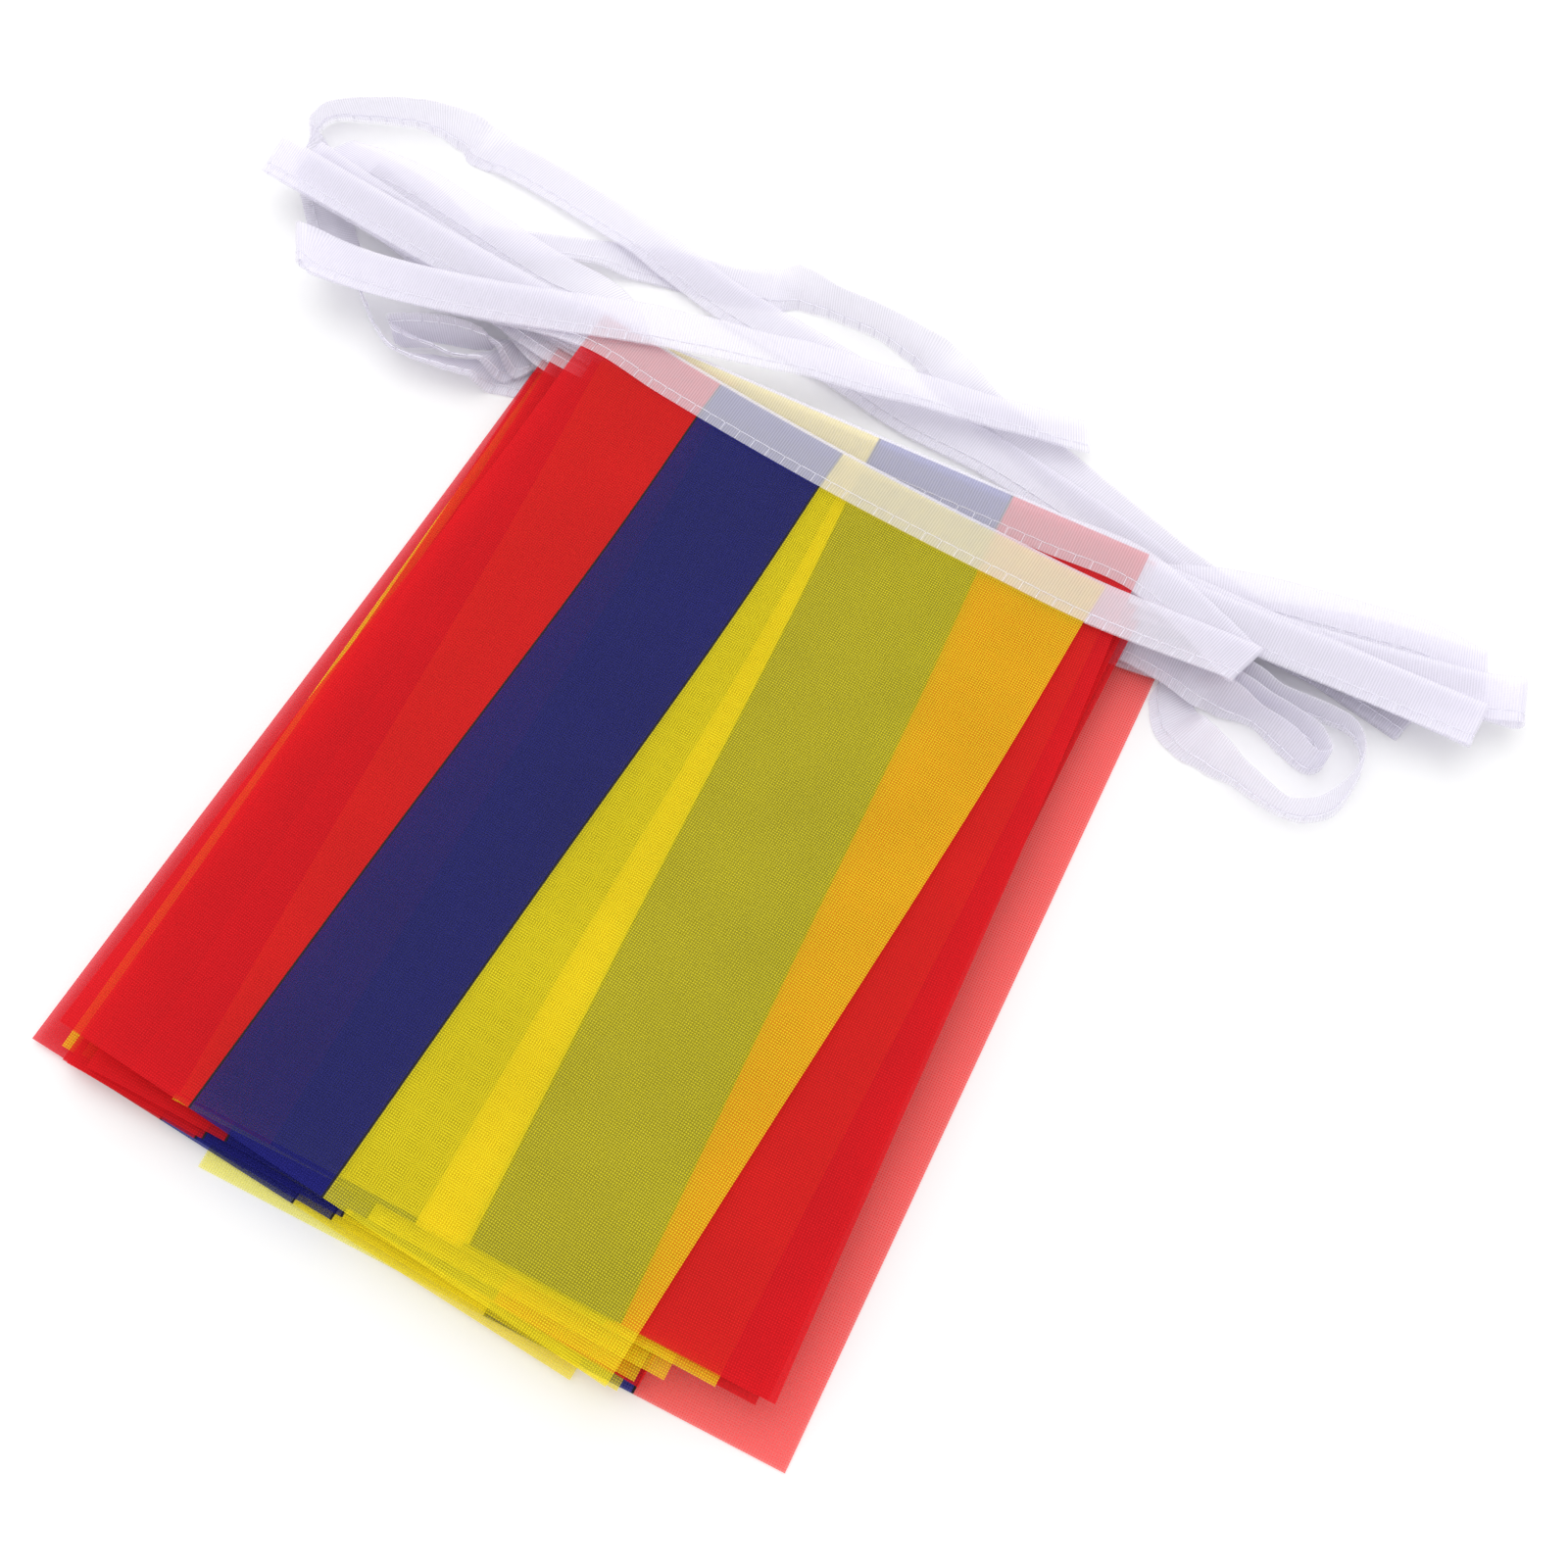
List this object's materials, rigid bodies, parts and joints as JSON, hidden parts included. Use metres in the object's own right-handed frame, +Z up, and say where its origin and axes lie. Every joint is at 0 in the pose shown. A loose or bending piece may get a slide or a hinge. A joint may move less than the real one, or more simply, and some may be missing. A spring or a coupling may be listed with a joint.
{
  "type": "folded flag bunting",
  "caption": "String of cloth flags on a white sewn tape, folded flag on flag into a flat stack with the tape ends loose.",
  "frame": {"origin": "middle of the underside of the lowest flag, on the surface that the stack lies on", "axes": "+X along the tape, +Y from the free ends of the flags towards the tape, +Z up"},
  "size_m": [0.3407, 0.2693, 0.0178],
  "materials": {
    "flag_cloth": "thin woven polyester, printed in three stripes",
    "heading_tape": "thin ribbed polyester tape, half sheer",
    "thread": "white sewing thread"
  },
  "bodies": {
    "root": {"flag_01": "flag_cloth", "flag_02": "flag_cloth", "flag_03": "flag_cloth", "flag_04": "flag_cloth", "flag_05": "flag_cloth", "flag_06": "flag_cloth", "flag_07": "flag_cloth", "flag_08": "flag_cloth", "flag_09": "flag_cloth", "flag_10": "flag_cloth", "flag_11": "flag_cloth", "flag_12": "flag_cloth", "tape": "heading_tape"}
  },
  "joints": []
}
